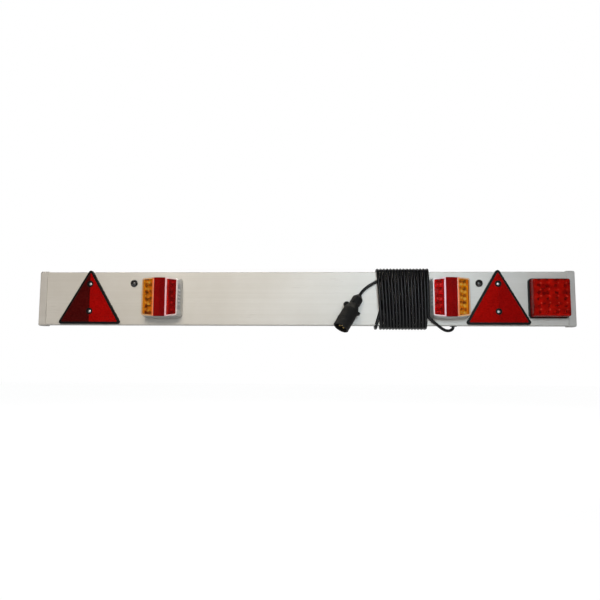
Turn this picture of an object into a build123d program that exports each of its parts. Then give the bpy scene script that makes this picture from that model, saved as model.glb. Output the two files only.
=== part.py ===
from build123d import *
import math
import os

# Trailer lighting board: a hollow plank with slip-over end caps that carries two combination
# lamps, two triangular reflectors, a fog lamp and two mounting bolts, with a seven-core cable
# wound round it that ends in a seven-pin plug.
# Millimetres. +X runs along the plank to the right of someone looking at the lamps, +Z is up
# and +Y points away from that person, towards the trailer. The origin lies midway between the
# two mounting bolts, on the plane where a bracket bears on their flange nuts.

# Plank
overall_length = 1372.0
plank_height = 138.0
plank_depth = 24.0
plank_wall = 2.0
plank_corner = 3.0
chamber_count = 3
chamber_corner = 1.0
rib_thickness = 1.6

# End caps
cap_length = 20.0
cap_wall = 2.0
cap_end = 3.0
cap_clearance = 0.1
cap_edge = 4.0

# Places along the plank, each from its nearer end to the piece's middle
left_reflector_from_end = 136.5
left_bolt_from_end = 249.0
left_lamp_from_end = 327.4
right_lamp_from_end = 316.2
right_bolt_from_end = 239.0
right_reflector_from_end = 193.5
fog_lamp_from_end = 69.5

# Triangular reflectors
reflector_side = 167.0
reflector_corner = 6.0
reflector_inner_corner = 2.0
reflector_above_edge = 2.5
reflector_floor = 3.0
reflector_depth = 8.0
reflector_rim = 5.5
reflector_rim_round = 1.2
reflector_lens_proud = 0.8
reflector_lens_clearance = 0.15
reflector_lens_round = 0.6
reflector_groove = 0.9
reflector_groove_depth = 0.35
reflector_boss_radius = 6.2
reflector_boss_recess = 2.2
reflector_boss_clearance = 0.2
reflector_hole_spacing = 70.5
reflector_lower_hole = 33.0

# Reflector screws
screw_head_radius = 4.3
screw_head_height = 2.8
screw_shank_radius = 2.0
screw_length = 14.0
screw_drive_width = 1.1
screw_drive_length = 4.8
screw_drive_depth = 1.3
screw_hole_clearance = 0.2

# Mounting bolts, their caps and their flange nuts
bolt_above_middle = 39.0
bolt_radius = 4.0
bolt_shank_radius = 3.6
bolt_hole_clearance = 0.25
bolt_reach = 22.0
bolt_tip_chamfer = 0.8
bolt_head_radius = 7.2
bolt_head_height = 3.2
bolt_head_rim = 1.2
bolt_cap_radius = 9.2
bolt_cap_height = 6.2
bolt_cap_rim = 2.0
bolt_cap_clearance = 0.1
flange_nut_height = 8.0
flange_radius = 8.9
flange_thickness = 2.0
flange_nut_flats = 13.0
nut_clearance = 0.05

# Combination lamps
lamp_width = 99.0
lamp_height = 106.5
lamp_depth = 42.0
lamp_corner = 10.0
lamp_bow = 3.0
lamp_draft = 6.0
lamp_wall = 2.2
lamp_front_wall = 2.5
lamp_front_round = 1.2
gasket_thickness = 1.5
gasket_inset = 1.5
lamp_floor = 3.0
lamp_joint = 13.0
lamp_lip = 3.0
lamp_lip_wall = 1.2
lamp_lip_clearance = 0.1
lamp_rim = 2.9
band_width = 27.6
band_divider = 4.2
band_recess = 1.2
band_proud = 2.4
band_round = 0.8
band_clearance = 0.1
ridge_width = 3.0
ridge_proud = 1.4
ridge_round = 0.9
window_corner = 1.5
window_recess = 0.7
window_clearance = 0.1
window_flange = 0.8
window_flange_thickness = 1.5
plate_window_height = 64.0
plate_window_depth = 18.0
plate_window_front = 6.0
plate_window_clearance = 0.1

# Circuit boards, light-emitting diodes and reflector trays
board_thickness = 1.6
board_corner = 4.0
board_clearance = 1.0
board_post_radius = 3.0
board_post_inset = 10.0
lamp_board_height = 11.0
lamp_rows = 5
lamp_tray_height = 18.0
lamp_tray_inset = 2.4
tray_floor = 1.5
cup_wall = 1.2
cup_floor_size = 6.6
diode_size = 5.0
diode_height = 1.9
plate_diode_size = 2.6
plate_diode_count = 5
plate_diode_pitch = 9.0
plate_diode_inset = 0.6

# Fog lamp
fog_width = 98.0
fog_height = 100.0
fog_corner = 8.0
fog_base_height = 10.0
fog_floor = 3.0
fog_base_round = 1.2
fog_lens_side_rim = 2.6
fog_lens_end_rim = 1.8
fog_lens_corner = 6.4
fog_lens_clearance = 0.1
fog_lens_height = 30.0
fog_lens_draft = 3.0
fog_lens_wall = 2.4
fog_lens_round = 3.0
fog_board_height = 7.0
fog_columns = 4
fog_rows = 5
fog_tray_height = 13.0

# Bolts that hold the lamps, with washers and nuts behind the plank
lamp_bolt_spacing = 50.0
lamp_bolt_radius = 2.5
lamp_bolt_clearance = 0.2
lamp_bolt_head_radius = 4.6
lamp_bolt_head_height = 3.0
lamp_bolt_tail = 2.0
lamp_washer_radius = 5.0
lamp_washer_thickness = 1.0
lamp_nut_flats = 8.0
lamp_nut_height = 4.0

# Wiring inside the plank
wire_hole_radius = 6.0
wire_hole_below_middle = 15.0
trunk_radius = 3.5
tail_wire_radius = 2.5
tail_wire_inside_lamp = 3.0
trunk_end = 10.0
trunk_lift = 0.4

# Cable, its grommet and its coil
cable_diameter = 7.6
coil_turns = 16
turn_pitch = 8.37
coil_from_lamp = 0.4
coil_inner_clearance = 0.2
coil_thickness = 8.2
coil_front_bow = 10.0
coil_corner = 9.0
coil_side_round = 3.0
grommet_from_lamp = 12.9
grommet_neck_radius = 6.5
grommet_flange_radius = 8.5
grommet_flange = 1.5
grommet_clearance = 0.05
grommet_bore_clearance = 0.05

# Plug
plug_lean = 30.0
plug_tilt = 20.0
plug_barrel_radius = 20.0
plug_shoulder_radius = 19.4
plug_rear_radius = 12.8
plug_barrel_length = 22.0
plug_shoulder = 56.0
plug_body_length = 72.0
plug_mouth_radius = 17.2
plug_mouth_depth = 34.0
plug_inner_radius = 15.0
plug_wall = 2.6
plug_collar_radius = 20.6
plug_collar_length = 2.6
plug_edge = 1.0
plug_neck_radius = 10.5
plug_neck_length = 9.0
plug_lug_width = 9.0
gland_radius = 13.6
gland_foot_radius = 11.8
gland_foot = 3.5
gland_length = 29.5
gland_flats = 25.8
gland_rear_radius = 7.2
gland_taper = 9.0
gland_end = 9.5
gland_clearance = 0.1
gland_bore_clearance = 0.05
insert_thickness = 12.0
insert_clearance = 0.1
pin_radius = 2.4
pin_count = 6
pin_circle_radius = 11.0
pin_length = 15.0
pin_tip_chamfer = 0.8
pin_clearance = 0.05
lead_inside_gland = 9.0
lead_out_of_gland = 6.0

# Places that follow from the sizes above
left_end = -overall_length / 2
right_end = overall_length / 2
left_reflector_x = left_end + left_reflector_from_end
left_bolt_x = left_end + left_bolt_from_end
left_lamp_x = left_end + left_lamp_from_end
right_lamp_x = right_end - right_lamp_from_end
right_bolt_x = right_end - right_bolt_from_end
right_reflector_x = right_end - right_reflector_from_end
fog_lamp_x = right_end - fog_lamp_from_end
grommet_x = right_lamp_x + grommet_from_lamp
coil_width = coil_turns * turn_pitch
coil_right_x = right_lamp_x - lamp_width / 2 - coil_from_lamp
coil_left_x = coil_right_x - coil_width
back_y = -flange_nut_height
front_y = back_y - plank_depth
middle_y = back_y - plank_depth / 2
middle_x = -(left_bolt_x + right_bolt_x) / 2
middle_z = -bolt_above_middle
plank_length = overall_length - 2 * cap_end
chamber_height = (plank_height - 2 * plank_wall - (chamber_count - 1) * rib_thickness) / chamber_count

# The plank's front face: local X along the plank, local Y up, local Z out towards the viewer
front = Plane(origin=(middle_x, front_y, middle_z), x_dir=(1, 0, 0), z_dir=(0, -1, 0))


def on_front(piece, x, height=0.0, out=0.0):
    return front * Pos(x, height, out) * piece


def in_frame(x, out, height):
    """A point given from the plank's middle: along it, out from its front face and up."""
    return Vector(middle_x + x, front_y - out, middle_z + height)


def group(pieces):
    return Compound([solid for piece in pieces for solid in piece.solids()])


def lifted(sketch, bottom, top, **options):
    return Pos(0, 0, bottom) * extrude(sketch, top - bottom, **options)


def rod(radius, bottom, top, x=0.0, y=0.0):
    return Pos(x, y, bottom) * Cylinder(radius, top - bottom, align=(Align.CENTER, Align.CENTER, Align.MIN))


def spun(edges):
    """A solid of revolution about Z from edges drawn with X as the radius and Y as the height."""
    return revolve(make_face([Plane.XZ * edge for edge in edges]), Axis.Z)


def turned(points):
    """A solid of revolution about Z from (radius, height) points."""
    return spun([Polyline(*points, close=True)])


def dome(radius, rim, crown):
    """A spherical arc from (radius, rim) to (0, crown), for turned heads and caps."""
    rise = crown - rim
    sphere = (radius ** 2 + rise ** 2) / (2 * rise)
    half_angle = math.asin(radius / sphere) / 2
    middle = (sphere * math.sin(half_angle), crown - sphere * (1 - math.cos(half_angle)))
    return ThreePointArc((radius, rim), middle, (0, crown))


def top_edges(piece):
    return piece.edges().group_by(Axis.Z)[-1]


def hex_prism(flats, bottom, top):
    return lifted(RegularPolygon(flats / math.sqrt(3), 6), bottom, top)


# Plank and end caps

def plank_outline(grow=0.0):
    return RectangleRounded(plank_depth + 2 * grow, plank_height + 2 * grow, plank_corner + grow)


def along_plank(sketch, start, end):
    """Extrudes a section drawn with local X out of the front face and local Y up."""
    section = Plane(origin=(middle_x + end, middle_y, middle_z), x_dir=(0, -1, 0), z_dir=(-1, 0, 0))
    return extrude(section * sketch, end - start)


def plank():
    body = along_plank(plank_outline(), -plank_length / 2, plank_length / 2)
    chamber = RectangleRounded(plank_depth - 2 * plank_wall, chamber_height, chamber_corner)
    for row in range(chamber_count):
        rise = (row - (chamber_count - 1) / 2) * (chamber_height + rib_thickness)
        body -= along_plank(Pos(0, rise) * chamber, -plank_length / 2, plank_length / 2)
    for x in (left_lamp_x, right_lamp_x, fog_lamp_x):
        body -= on_front(rod(wire_hole_radius, -plank_wall, 0), x, -wire_hole_below_middle)
        for side in (-1, 1):
            bolt_x = x + side * lamp_bolt_spacing / 2
            body -= on_front(rod(lamp_bolt_radius + lamp_bolt_clearance, -plank_depth, 0), bolt_x)
    for x in (left_bolt_x, right_bolt_x):
        body -= on_front(rod(bolt_radius + bolt_hole_clearance, -plank_depth, 0), x, bolt_above_middle)
    for x in (left_reflector_x, right_reflector_x):
        for height in screw_heights():
            body -= on_front(rod(screw_shank_radius + screw_hole_clearance, -plank_wall, 0), x, height)
    rib_top = -chamber_height / 2
    for radius, bottom, top in (
        (grommet_neck_radius + grommet_clearance, -plank_height / 2, -plank_height / 2 + plank_wall),
        (wire_hole_radius, rib_top - rib_thickness, rib_top),
    ):
        centre = in_frame(grommet_x, -plank_depth / 2, bottom)
        body -= Pos(centre) * rod(radius, 0, top - bottom)
    return body


def end_cap(side):
    """A slip-over cap; side is -1 for the left end and 1 for the right."""
    outer_end, mouth = side * right_end, side * (right_end - cap_length)
    stop = side * plank_length / 2
    grow = cap_clearance + cap_wall
    shell = along_plank(plank_outline(grow), min(outer_end, mouth), max(outer_end, mouth))
    shell = fillet(shell.edges().filter_by_position(
        Axis.X, middle_x + outer_end - 0.01, middle_x + outer_end + 0.01), cap_edge)
    return shell - along_plank(plank_outline(cap_clearance), min(stop, mouth), max(stop, mouth))


# Triangular reflectors and their screws

def reflector_middle():
    """Height of the triangle's centroid over the plank's middle."""
    return -plank_height / 2 + reflector_above_edge + reflector_side / math.sqrt(12)


def screw_heights():
    lower = -plank_height / 2 + reflector_above_edge + reflector_lower_hole
    return lower, lower + reflector_hole_spacing


def reflector_outline(inset, corner):
    triangle = RegularPolygon(reflector_side / math.sqrt(3) - 2 * inset, 3, rotation=90)
    return fillet(triangle.vertices(), corner)


def boss_places():
    return [height - reflector_middle() for height in screw_heights()]


def reflector_base():
    body = lifted(reflector_outline(0, reflector_corner), 0, reflector_depth)
    body = fillet(top_edges(body), reflector_rim_round)
    body -= lifted(
        reflector_outline(reflector_rim, reflector_inner_corner), reflector_floor, reflector_depth)
    for place in boss_places():
        body += rod(reflector_boss_radius, 0, reflector_depth - reflector_boss_recess, y=place)
    for place in boss_places():
        body -= rod(screw_shank_radius + screw_hole_clearance, 0, reflector_depth, y=place)
    return body


def reflector_lens():
    top = reflector_depth + reflector_lens_proud
    inset = reflector_rim + reflector_lens_clearance
    body = lifted(reflector_outline(inset, reflector_inner_corner), reflector_floor, top)
    body = fillet(top_edges(body), reflector_lens_round)
    groove = Box(reflector_groove, 2 * reflector_side, 2 * reflector_groove_depth)
    body -= Pos(0, 0, top) * groove
    for place in boss_places():
        body -= rod(reflector_boss_radius + reflector_boss_clearance, 0, top, y=place)
    return body


def reflector_screw():
    seat = reflector_depth - reflector_boss_recess
    crown = seat + screw_head_height
    rim = seat + screw_head_height / 2
    head = spun([
        Polyline((0, crown), (0, seat), (screw_head_radius, seat), (screw_head_radius, rim)),
        dome(screw_head_radius, rim, crown),
    ])
    screw = head + rod(screw_shank_radius, seat - screw_length, seat)
    for turn in (0, 90):
        slot = Box(screw_drive_length, screw_drive_width, 2 * screw_drive_depth)
        screw -= Pos(0, 0, crown) * Rot(0, 0, turn) * slot
    return screw


# Mounting bolts

def mounting_bolt():
    """The thread has its full radius where the stud stands free, and its pitch radius in the nut."""
    head = rod(bolt_head_radius, 0, bolt_head_height)
    head = fillet(top_edges(head), bolt_head_rim)
    seat = -plank_depth - flange_nut_height
    stud = rod(bolt_radius, seat - bolt_reach, seat)
    stud = chamfer(stud.edges().group_by(Axis.Z)[0], bolt_tip_chamfer)
    return head + rod(bolt_shank_radius, seat, 0) + stud


def mounting_bolt_cap():
    outer = spun([
        Polyline((0, bolt_cap_height), (0, 0), (bolt_cap_radius, 0), (bolt_cap_radius, bolt_cap_rim)),
        dome(bolt_cap_radius, bolt_cap_rim, bolt_cap_height),
    ])
    return outer - rod(
        bolt_head_radius + bolt_cap_clearance, 0, bolt_head_height + bolt_cap_clearance)


def flange_nut():
    body = rod(flange_radius, 0, flange_thickness) + hex_prism(flange_nut_flats, 0, flange_nut_height)
    return body - rod(bolt_shank_radius + nut_clearance, 0, flange_nut_height)


# Combination lamps, modelled for the left end: amber outside, red inside

lamp_slope = math.tan(math.radians(lamp_draft))
face_inset = (lamp_depth - gasket_thickness) * lamp_slope
face_half_width = lamp_width / 2 - face_inset
face_half_side = lamp_height / 2 - lamp_bow - face_inset
window_inner = band_width / 2 + band_divider
window_width = face_half_width - lamp_rim - window_inner
window_x = window_inner + window_width / 2
window_height = 2 * (face_half_side - lamp_rim)
lamp_floor_top = gasket_thickness + lamp_floor
lamp_board_bottom = lamp_floor_top + lamp_board_height
lamp_board_top = lamp_board_bottom + board_thickness
lamp_inner_front = lamp_depth - lamp_front_wall


def lamp_outline(inset):
    half_width = lamp_width / 2 - inset
    half_height = lamp_height / 2 - inset
    side = half_height - lamp_bow
    outline = make_face([
        ThreePointArc((-half_width, -side), (0, -half_height), (half_width, -side)),
        Line((half_width, -side), (half_width, side)),
        ThreePointArc((half_width, side), (0, half_height), (-half_width, side)),
        Line((-half_width, side), (-half_width, -side)),
    ])
    return fillet(outline.vertices(), lamp_corner - inset)


def lamp_block(bottom, top, inset=0.0):
    """A slice of the drafted lamp body, from bottom to top out of the plank's face."""
    level = (bottom - gasket_thickness) * lamp_slope
    return lifted(lamp_outline(inset + level), bottom, top, taper=lamp_draft)


def lamp_bolt_places():
    return [side * lamp_bolt_spacing / 2 for side in (-1, 1)]


def lamp_gasket():
    body = lifted(lamp_outline(gasket_inset), 0, gasket_thickness)
    for x in lamp_bolt_places():
        body -= rod(lamp_bolt_radius + lamp_bolt_clearance, 0, gasket_thickness, x)
    return body - rod(wire_hole_radius, 0, gasket_thickness, y=-wire_hole_below_middle)


def lamp_base():
    body = lamp_block(gasket_thickness, lamp_joint)
    body -= lamp_block(lamp_floor_top, lamp_joint, lamp_wall)
    for x, y in lamp_post_places():
        body += rod(board_post_radius, gasket_thickness, lamp_board_bottom, x, y)
    for x in lamp_bolt_places():
        body -= rod(lamp_bolt_radius + lamp_bolt_clearance, 0, lamp_floor_top, x)
    return body - rod(wire_hole_radius, 0, lamp_floor_top, y=-wire_hole_below_middle)


def lamp_board_half():
    """Half width and half height of the circuit board, clear of the lamp's drafted walls."""
    inset = (lamp_board_top - gasket_thickness) * lamp_slope + lamp_wall + lamp_lip_wall + board_clearance
    return lamp_width / 2 - inset, lamp_height / 2 - lamp_bow - inset


def lamp_post_places():
    half_width, half_height = lamp_board_half()
    return [(x, y) for x in (-half_width + board_post_inset, half_width - board_post_inset)
            for y in (-half_height + board_post_inset, half_height - board_post_inset)]


def plate_window_slab(trim=0.0):
    """The block of the inner side wall that the number-plate window takes up."""
    top = lamp_depth - plate_window_front - trim
    slab = Box(lamp_wall * 6, plate_window_height - 2 * trim, plate_window_depth - 2 * trim,
               align=(Align.CENTER, Align.CENTER, Align.MAX))
    return Pos(lamp_width / 2 - face_inset, 0, top) * slab


def window_outline(grow):
    """The right-hand window: the face inside its rim, cut off beside the band."""
    half = Rectangle(lamp_width, 2 * lamp_height, align=(Align.MIN, Align.CENTER))
    outline = lamp_outline(face_inset + lamp_rim - grow) & Pos(window_inner - grow, 0) * half
    return fillet(outline.vertices().group_by(Axis.X)[0], window_corner + grow)


def on_side(piece, side):
    return piece if side > 0 else mirror(piece, about=Plane.YZ)


def lamp_ridge():
    """The rounded seam between the band and the right-hand window."""
    body = lamp_block(lamp_depth - band_recess, lamp_depth + ridge_proud)
    body &= Pos(band_width / 2 + band_divider / 2, 0, lamp_depth) * Box(
        ridge_width, 2 * lamp_height, lamp_depth)
    return fillet(top_edges(body), ridge_round)


def lamp_housing():
    body = lamp_block(lamp_joint, lamp_depth)
    body = fillet(top_edges(body), lamp_front_round)
    body -= lamp_block(lamp_joint, lamp_inner_front, lamp_wall)
    lip_inset = lamp_wall + lamp_lip_clearance
    lip = lamp_block(lamp_joint - lamp_lip, lamp_joint, lip_inset)
    lip += lamp_block(lamp_joint, lamp_joint + lamp_lip, lamp_wall / 2)
    body += lip - lamp_block(lamp_joint - lamp_lip, lamp_joint + lamp_lip, lip_inset + lamp_lip_wall)
    for side in (-1, 1):
        body -= on_side(lifted(window_outline(0), lamp_inner_front, lamp_depth), side)
        body += on_side(lamp_ridge(), side)
    slot = Box(band_width + 2 * band_clearance, 2 * lamp_height, 2 * band_recess)
    body -= Pos(0, 0, lamp_depth) * slot
    return body - plate_window_slab()


def lamp_window_lens(side):
    plug = lifted(window_outline(-window_clearance), lamp_inner_front, lamp_depth - window_recess)
    flange = lifted(
        window_outline(window_flange), lamp_inner_front - window_flange_thickness, lamp_inner_front)
    return on_side(plug + flange, side)


def lamp_band():
    top = lamp_depth + band_proud
    body = lamp_block(lamp_depth - band_recess, top)
    body &= Pos(0, 0, top) * Box(band_width, 2 * lamp_height, 4 * band_proud)
    return fillet(top_edges(body), band_round)


def plate_window():
    wall = lamp_block(lamp_joint, lamp_depth) - lamp_block(lamp_joint, lamp_depth, lamp_wall)
    return wall & plate_window_slab(plate_window_clearance)


def lamp_board():
    half_width, half_height = lamp_board_half()
    return lifted(RectangleRounded(2 * half_width, 2 * half_height, board_corner),
                  lamp_board_bottom, lamp_board_top)


def cups(columns, rows, pitch_x, pitch_y, bottom, top):
    """Tapered square openings, one over each diode."""
    shapes = []
    for x in columns:
        for row in range(rows):
            y = (row - (rows - 1) / 2) * pitch_y
            foot = Rectangle(cup_floor_size, cup_floor_size)
            mouth = Rectangle(pitch_x - 2 * cup_wall, pitch_y - cup_wall)
            shapes.append(Pos(x, y) * lifted(foot, bottom, bottom + tray_floor))
            shapes.append(Pos(x, y) * loft(
                [Pos(0, 0, bottom + tray_floor) * foot, Pos(0, 0, top) * mouth], ruled=True))
    return shapes


def lamp_tray():
    top = lamp_board_top + lamp_tray_height
    width = window_width - 2 * lamp_tray_inset
    body = lifted(Rectangle(2 * window_x, window_height), lamp_board_top, lamp_board_top + tray_floor)
    for side in (-1, 1):
        body += Pos(side * window_x, 0) * lifted(Rectangle(width, window_height), lamp_board_top, top)
    pitch = window_height / lamp_rows
    return body - cups((-window_x, window_x), lamp_rows, width, pitch, lamp_board_top, top)


def diode(size):
    return Box(size, size, diode_height, align=(Align.CENTER, Align.CENTER, Align.MIN))


def lamp_diodes():
    pitch = window_height / lamp_rows
    places = [(side * window_x, (row - (lamp_rows - 1) / 2) * pitch)
              for side in (-1, 1) for row in range(lamp_rows)]
    lights = [Pos(x, y, lamp_board_top) * diode(diode_size) for x, y in places]
    edge = lamp_board_half()[0] - plate_diode_size / 2 - plate_diode_inset
    for row in range(plate_diode_count):
        y = (row - (plate_diode_count - 1) / 2) * plate_diode_pitch
        lights.append(Pos(edge, y, lamp_board_top) * diode(plate_diode_size))
    return group(lights)


# Fog lamp

fog_lens_width = fog_width - 2 * fog_lens_side_rim
fog_lens_length = fog_height - 2 * fog_lens_end_rim
fog_board_bottom = fog_floor + fog_board_height
fog_board_top = fog_board_bottom + board_thickness
fog_board_gap = fog_lens_wall + board_clearance + fog_board_top * math.tan(math.radians(fog_lens_draft))
fog_board_width = fog_lens_width - 2 * fog_board_gap
fog_board_length = fog_lens_length - 2 * fog_board_gap


def fog_lens_outline(grow):
    return RectangleRounded(
        fog_lens_width + 2 * grow, fog_lens_length + 2 * grow, max(fog_lens_corner + grow, 1.5))


def fog_base():
    body = lifted(RectangleRounded(fog_width, fog_height, fog_corner), 0, fog_base_height)
    body = fillet(top_edges(body), fog_base_round)
    body -= lifted(fog_lens_outline(fog_lens_clearance), fog_floor, fog_base_height)
    for x in (board_post_inset - fog_board_width / 2, fog_board_width / 2 - board_post_inset):
        for y in (board_post_inset - fog_board_length / 2, fog_board_length / 2 - board_post_inset):
            body += rod(board_post_radius, 0, fog_board_bottom, x, y)
    for x in lamp_bolt_places():
        body -= rod(lamp_bolt_radius + lamp_bolt_clearance, 0, fog_floor, x)
    return body - rod(wire_hole_radius, 0, fog_floor, y=-wire_hole_below_middle)


def fog_lens():
    top = fog_floor + fog_lens_height
    body = lifted(fog_lens_outline(0), fog_floor, top, taper=fog_lens_draft)
    body = fillet(top_edges(body), fog_lens_round)
    return body - lifted(
        fog_lens_outline(-fog_lens_wall), fog_floor, top - fog_lens_wall, taper=fog_lens_draft)


def fog_board():
    return lifted(RectangleRounded(fog_board_width, fog_board_length, board_corner),
                  fog_board_bottom, fog_board_top)


def fog_pitches():
    return fog_board_width / fog_columns, fog_board_length / fog_rows


def fog_column_places():
    return [(column - (fog_columns - 1) / 2) * fog_pitches()[0] for column in range(fog_columns)]


def fog_tray():
    top = fog_board_top + fog_tray_height
    draft = fog_tray_height * math.tan(math.radians(fog_lens_draft))
    body = lifted(
        Rectangle(fog_board_width - 2 * draft, fog_board_length - 2 * draft), fog_board_top, top)
    pitch_x, pitch_y = fog_pitches()
    return body - cups(fog_column_places(), fog_rows, pitch_x, pitch_y - cup_wall, fog_board_top, top)


def fog_diodes():
    pitch_y = fog_pitches()[1] - cup_wall
    return group([Pos(x, (row - (fog_rows - 1) / 2) * pitch_y, fog_board_top) * diode(diode_size)
                  for x in fog_column_places() for row in range(fog_rows)])


# Bolts, washers and nuts that hold the lamps

def lamp_bolt_seats():
    """Plank place, and height of the bolt head's seat over the plank's face, of each lamp bolt."""
    return [(x + offset, seat) for x, seat in (
        (left_lamp_x, lamp_floor_top), (right_lamp_x, lamp_floor_top), (fog_lamp_x, fog_floor))
        for offset in lamp_bolt_places()]


def lamp_bolts():
    end = -plank_depth - lamp_washer_thickness - lamp_nut_height - lamp_bolt_tail
    return group([on_front(
        rod(lamp_bolt_radius, end, seat) + rod(lamp_bolt_head_radius, seat, seat + lamp_bolt_head_height), x)
        for x, seat in lamp_bolt_seats()])


def lamp_washers():
    top = -plank_depth
    bottom = top - lamp_washer_thickness
    washer = rod(lamp_washer_radius, bottom, top) - rod(lamp_bolt_radius + lamp_bolt_clearance, bottom, top)
    return group([on_front(washer, x) for x, seat in lamp_bolt_seats()])


def lamp_nuts():
    top = -plank_depth - lamp_washer_thickness
    bottom = top - lamp_nut_height
    nut = hex_prism(lamp_nut_flats, bottom, top) - rod(lamp_bolt_radius + nut_clearance, bottom, top)
    return group([on_front(nut, x) for x, seat in lamp_bolt_seats()])


# Wiring inside the plank: one trunk in the middle chamber with a tail into each lamp

def wiring():
    height = -chamber_height / 2 + trunk_lift + trunk_radius
    depth = -plank_depth / 2
    along = Plane(origin=in_frame(left_lamp_x - trunk_end, depth, height), z_dir=(1, 0, 0))
    body = along * rod(trunk_radius, 0, fog_lamp_x - left_lamp_x + 2 * trunk_end)
    for x, top in ((left_lamp_x, lamp_floor_top), (right_lamp_x, lamp_floor_top), (fog_lamp_x, fog_floor)):
        body += on_front(rod(tail_wire_radius, depth, top + tail_wire_inside_lamp), x, height)
    feed_start = -plank_height / 2 + plank_wall
    body += Pos(in_frame(grommet_x, depth, feed_start)) * rod(cable_diameter / 2, 0, height - feed_start)
    return body


# Cable: the run from the grommet to the coil, the coil and the run from the coil to the plug

def grommet():
    bore = cable_diameter / 2 + grommet_bore_clearance
    outside, inside = -plank_height / 2, -plank_height / 2 + plank_wall
    profile = turned([
        (bore, outside - grommet_flange), (grommet_flange_radius, outside - grommet_flange),
        (grommet_flange_radius, outside), (grommet_neck_radius, outside),
        (grommet_neck_radius, inside), (grommet_flange_radius, inside),
        (grommet_flange_radius, inside + grommet_flange), (bore, inside + grommet_flange),
    ])
    return Pos(in_frame(grommet_x, -plank_depth / 2, 0)) * profile


def coil():
    """The outer shape of the turns, a band round the plank that bows out in front."""
    half_depth = plank_depth / 2 + coil_inner_clearance + coil_thickness
    half_height = plank_height / 2 + coil_inner_clearance + coil_thickness
    lower, upper = (half_depth, -half_height), (half_depth, half_height)
    outline = make_face([
        Polyline(upper, (-half_depth, half_height), (-half_depth, -half_height), lower),
        ThreePointArc(lower, (half_depth + coil_front_bow, 0), upper),
    ])
    outline = fillet(outline.vertices(), coil_corner)
    band = along_plank(outline, coil_left_x, coil_right_x)
    ends = band.faces().filter_by(Axis.X).edges()
    band = fillet(ends, coil_side_round)
    return band - along_plank(plank_outline(coil_inner_clearance), coil_left_x, coil_right_x)


def tube(name, points):
    """A round cable through hand-placed points, with a tangent arc at each of them."""
    runs = [after - before for before, after in zip(points, points[1:])]
    radii = []
    for before, after in zip(runs, runs[1:]):
        half_turn = math.radians(before.get_angle(after)) / 2
        radii.append(0.45 * min(before.length, after.length) / math.tan(half_turn))
    path = FilletPolyline(*points, radius=radii)
    body = sweep(Plane(origin=path @ 0, z_dir=path % 0) * Circle(cable_diameter / 2), path)
    share = body.volume / (math.pi * cable_diameter ** 2 / 4 * path.length)
    print(name, "radii", [round(radius, 1) for radius in radii], "length", round(path.length, 1),
          "volume share", round(share, 4))
    return body


# From the grommet: along the plank from it, out from the front face, up from the plank's lower edge
tail_route = [
    (0.0, -12.0, 2.0), (0.0, -12.0, -4.8), (-4.3, -10.8, -9.8), (-11.6, -8.6, -12.4), (-20.2, -5.6, -12.0),
    (-29.5, -2.0, -7.8), (-39.5, 3.4, -1.0), (-50.0, 6.0, 7.4), (-59.5, 6.6, 15.2), (-66.0, 6.4, 23.5),
]

# From the coil's left side: along the plank, out from the front face, up from the plank's middle
plug_rear = (-41.8, 15.6, 4.7)
lead_route = [(-31.6, 11.4, 20.0), (-19.2, 9.0, 30.0), (-6.0, 7.2, 38.0), (7.0, 5.8, 45.0)]


def tail():
    return tube("cable_tail", [
        in_frame(grommet_x + x, out, height - plank_height / 2) for x, out, height in tail_route])


# Lugs on the plug, each from the axis outwards and from the mouth to the rear
left_lug = [(12.0, 55.5), (19.3, 56.0), (24.6, 62.5), (23.0, 66.6), (18.3, 70.0), (12.0, 70.0)]
right_lug = [(14.5, 50.0), (19.4, 51.0), (24.6, 56.7), (23.6, 59.1), (19.0, 60.1), (14.5, 60.1)]

# Plug: local Z runs from its mouth to its rear

lean, tilt = math.radians(plug_lean), math.radians(plug_tilt)
plug_axis = Vector(
    math.sin(lean) * math.cos(tilt), math.sin(tilt), math.cos(lean) * math.cos(tilt))
plug_across = Vector(math.cos(lean), 0, -math.sin(lean))
plug_length = plug_body_length + gland_length
plug_rear_point = in_frame(coil_left_x + plug_rear[0], plug_rear[1], plug_rear[2])
plug_plane = Plane(origin=plug_rear_point - plug_axis * plug_length, x_dir=plug_across, z_dir=plug_axis)
cable_bore = cable_diameter / 2 + gland_bore_clearance
neck_end = plug_body_length + plug_neck_length
insert_front = plug_mouth_depth - insert_thickness


def lead():
    points = [plug_rear_point + plug_axis * step for step in (-lead_inside_gland, lead_out_of_gland)]
    points += [in_frame(coil_left_x + x, out, height) for x, out, height in lead_route]
    return tube("cable_lead", points)


def plug_shell():
    collar_end = plug_barrel_length + plug_collar_length
    body = turned([
        (plug_mouth_radius, 0), (plug_barrel_radius - plug_edge, 0), (plug_barrel_radius, plug_edge),
        (plug_barrel_radius, plug_barrel_length), (plug_collar_radius, plug_barrel_length),
        (plug_collar_radius, collar_end), (plug_barrel_radius, collar_end),
        (plug_shoulder_radius, plug_shoulder), (plug_rear_radius, plug_body_length),
        (plug_neck_radius, plug_body_length), (plug_neck_radius, neck_end), (cable_bore, neck_end),
        (cable_bore, plug_body_length - plug_wall),
        (plug_rear_radius - 2 * plug_wall, plug_body_length - plug_wall),
        (plug_inner_radius, plug_shoulder), (plug_inner_radius, plug_mouth_depth),
        (plug_mouth_radius, plug_mouth_depth),
    ])
    for side, outline in ((-1, left_lug), (1, right_lug)):
        profile = make_face(Plane.XZ * Polyline(*[(side * x, z) for x, z in outline], close=True))
        body += extrude(profile, plug_lug_width / 2, both=True)
    cavity = rod(plug_inner_radius, plug_mouth_depth, plug_shoulder)
    return body - cavity


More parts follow.
